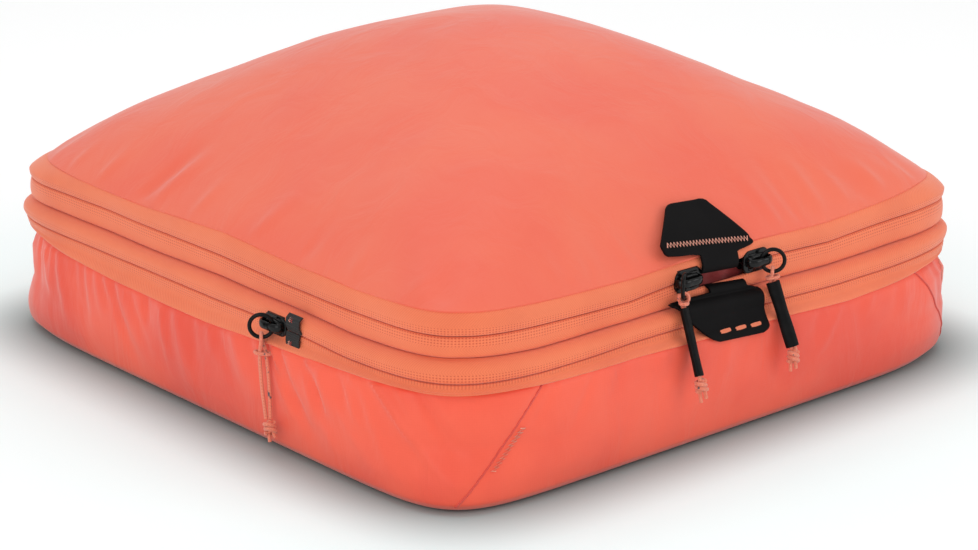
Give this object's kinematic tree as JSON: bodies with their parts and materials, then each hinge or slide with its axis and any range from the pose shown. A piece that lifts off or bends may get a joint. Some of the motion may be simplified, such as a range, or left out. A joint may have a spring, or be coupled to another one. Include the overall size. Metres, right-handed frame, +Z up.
{
  "type": "expandable packing cube",
  "caption": "Soft square zipped packing case with a domed lid on a two-way zip, an expansion zip below it, front tabs and corded zip pulls.",
  "frame": {"origin": "middle of the flat base, on the surface that the case stands on", "axes": "+Z up, front with the tabs towards -Y, expansion slider on the -X side"},
  "size_m": [0.3745, 0.3905, 0.1675],
  "materials": {
    "panel_fabric": "fine ripstop nylon, softly shiny, coral",
    "seam": "folded and stitched edge of the same fabric",
    "zip_tape": "woven herringbone zip tape, orange",
    "zip_coil": "nylon coil, orange",
    "end_patch": "black webbing with red bar tacks",
    "lining": "dark red lining fabric",
    "tab": "matte black coated fabric",
    "slider": "black lacquered zinc slider",
    "ring_wire": "black wire",
    "pull_cord": "braided salmon cord",
    "sleeve": "matte black rubber tube"
  },
  "bodies": {
    "base": {"bottom_shell": "panel_fabric", "corner_seam_front_left": "seam", "corner_seam_front_right": "seam", "corner_seam_back_left": "seam", "corner_seam_back_right": "seam", "expansion_tape_lower": "zip_tape", "expansion_coil_lower": "zip_coil", "end_cover_lower": "end_patch", "gusset": "lining"},
    "collar": {"collar_band": "lining", "expansion_tape_upper": "zip_tape", "expansion_coil_upper": "zip_coil", "end_cover_upper": "end_patch", "main_tape_lower": "zip_tape", "main_coil_lower": "zip_coil", "bottom_tab": "tab"},
    "lid": {"top_panel": "panel_fabric", "main_tape_upper": "zip_tape", "main_coil_upper": "zip_coil", "top_tab": "tab"},
    "left_slider": {"slider_left": "slider"},
    "left_ring": {"ring_left": "ring_wire"},
    "left_pull": {"cord_left": "pull_cord", "sleeve_left": "sleeve", "knot_left": "pull_cord"},
    "right_slider": {"slider_right": "slider"},
    "right_ring": {"ring_right": "ring_wire"},
    "right_pull": {"cord_right": "pull_cord", "sleeve_right": "sleeve", "knot_right": "pull_cord"},
    "expansion_slider": {"slider_expansion": "slider"},
    "expansion_ring": {"ring_expansion": "ring_wire"},
    "expansion_pull": {"cord_expansion": "pull_cord", "knot_expansion": "pull_cord"}
  },
  "joints": [
    {"name": "expansion", "type": "slide", "parent": "base", "child": "collar", "axis": [0, 0, 1], "range_m": [0, 0.045], "deforming": ["gusset"]},
    {"name": "lid_opening", "type": "hinge", "parent": "collar", "child": "lid", "pos_m": [0, 0.1769, 0.0795], "axis": [-1, 0, 0], "range_deg": [0, 140]},
    {"name": "left_slider_travel", "type": "slide", "parent": "collar", "child": "left_slider", "axis": [-1, 0, 0], "range_m": [0, 0.07]},
    {"name": "right_slider_travel", "type": "slide", "parent": "collar", "child": "right_slider", "axis": [1, 0, 0], "range_m": [0, 0.085]},
    {"name": "expansion_slider_travel", "type": "slide", "parent": "base", "child": "expansion_slider", "axis": [0, 1, 0], "range_m": [0, 0.16]},
    {"name": "left_ring_swing", "type": "hinge", "parent": "left_slider", "child": "left_ring", "pos_m": [-0.0336, -0.18005, 0.0795], "axis": [0, 0, 1], "range_deg": [0, 5]},
    {"name": "right_ring_swing", "type": "hinge", "parent": "right_slider", "child": "right_ring", "pos_m": [0.0163, -0.18005, 0.0795], "axis": [0, 0, -1], "range_deg": [0, 30]},
    {"name": "expansion_ring_swing", "type": "hinge", "parent": "expansion_slider", "child": "expansion_ring", "pos_m": [-0.18005, -0.0621, 0.061], "axis": [0, 0, -1], "range_deg": [0, 8]},
    {"name": "left_pull_swing", "type": "hinge", "parent": "left_ring", "child": "left_pull", "pos_m": [-0.03784, -0.18348, 0.07405], "axis": [-0.7771, -0.6293, 0], "range_deg": [0, 70]},
    {"name": "right_pull_swing", "type": "hinge", "parent": "right_ring", "child": "right_pull", "pos_m": [0.02042, -0.18362, 0.07405], "axis": [-0.7559, 0.6547, 0], "range_deg": [0, 70]},
    {"name": "expansion_pull_swing", "type": "hinge", "parent": "expansion_ring", "child": "expansion_pull", "pos_m": [-0.18416, -0.05852, 0.05555], "axis": [-0.7547, 0.6561, 0], "range_deg": [0, 70]}
  ]
}
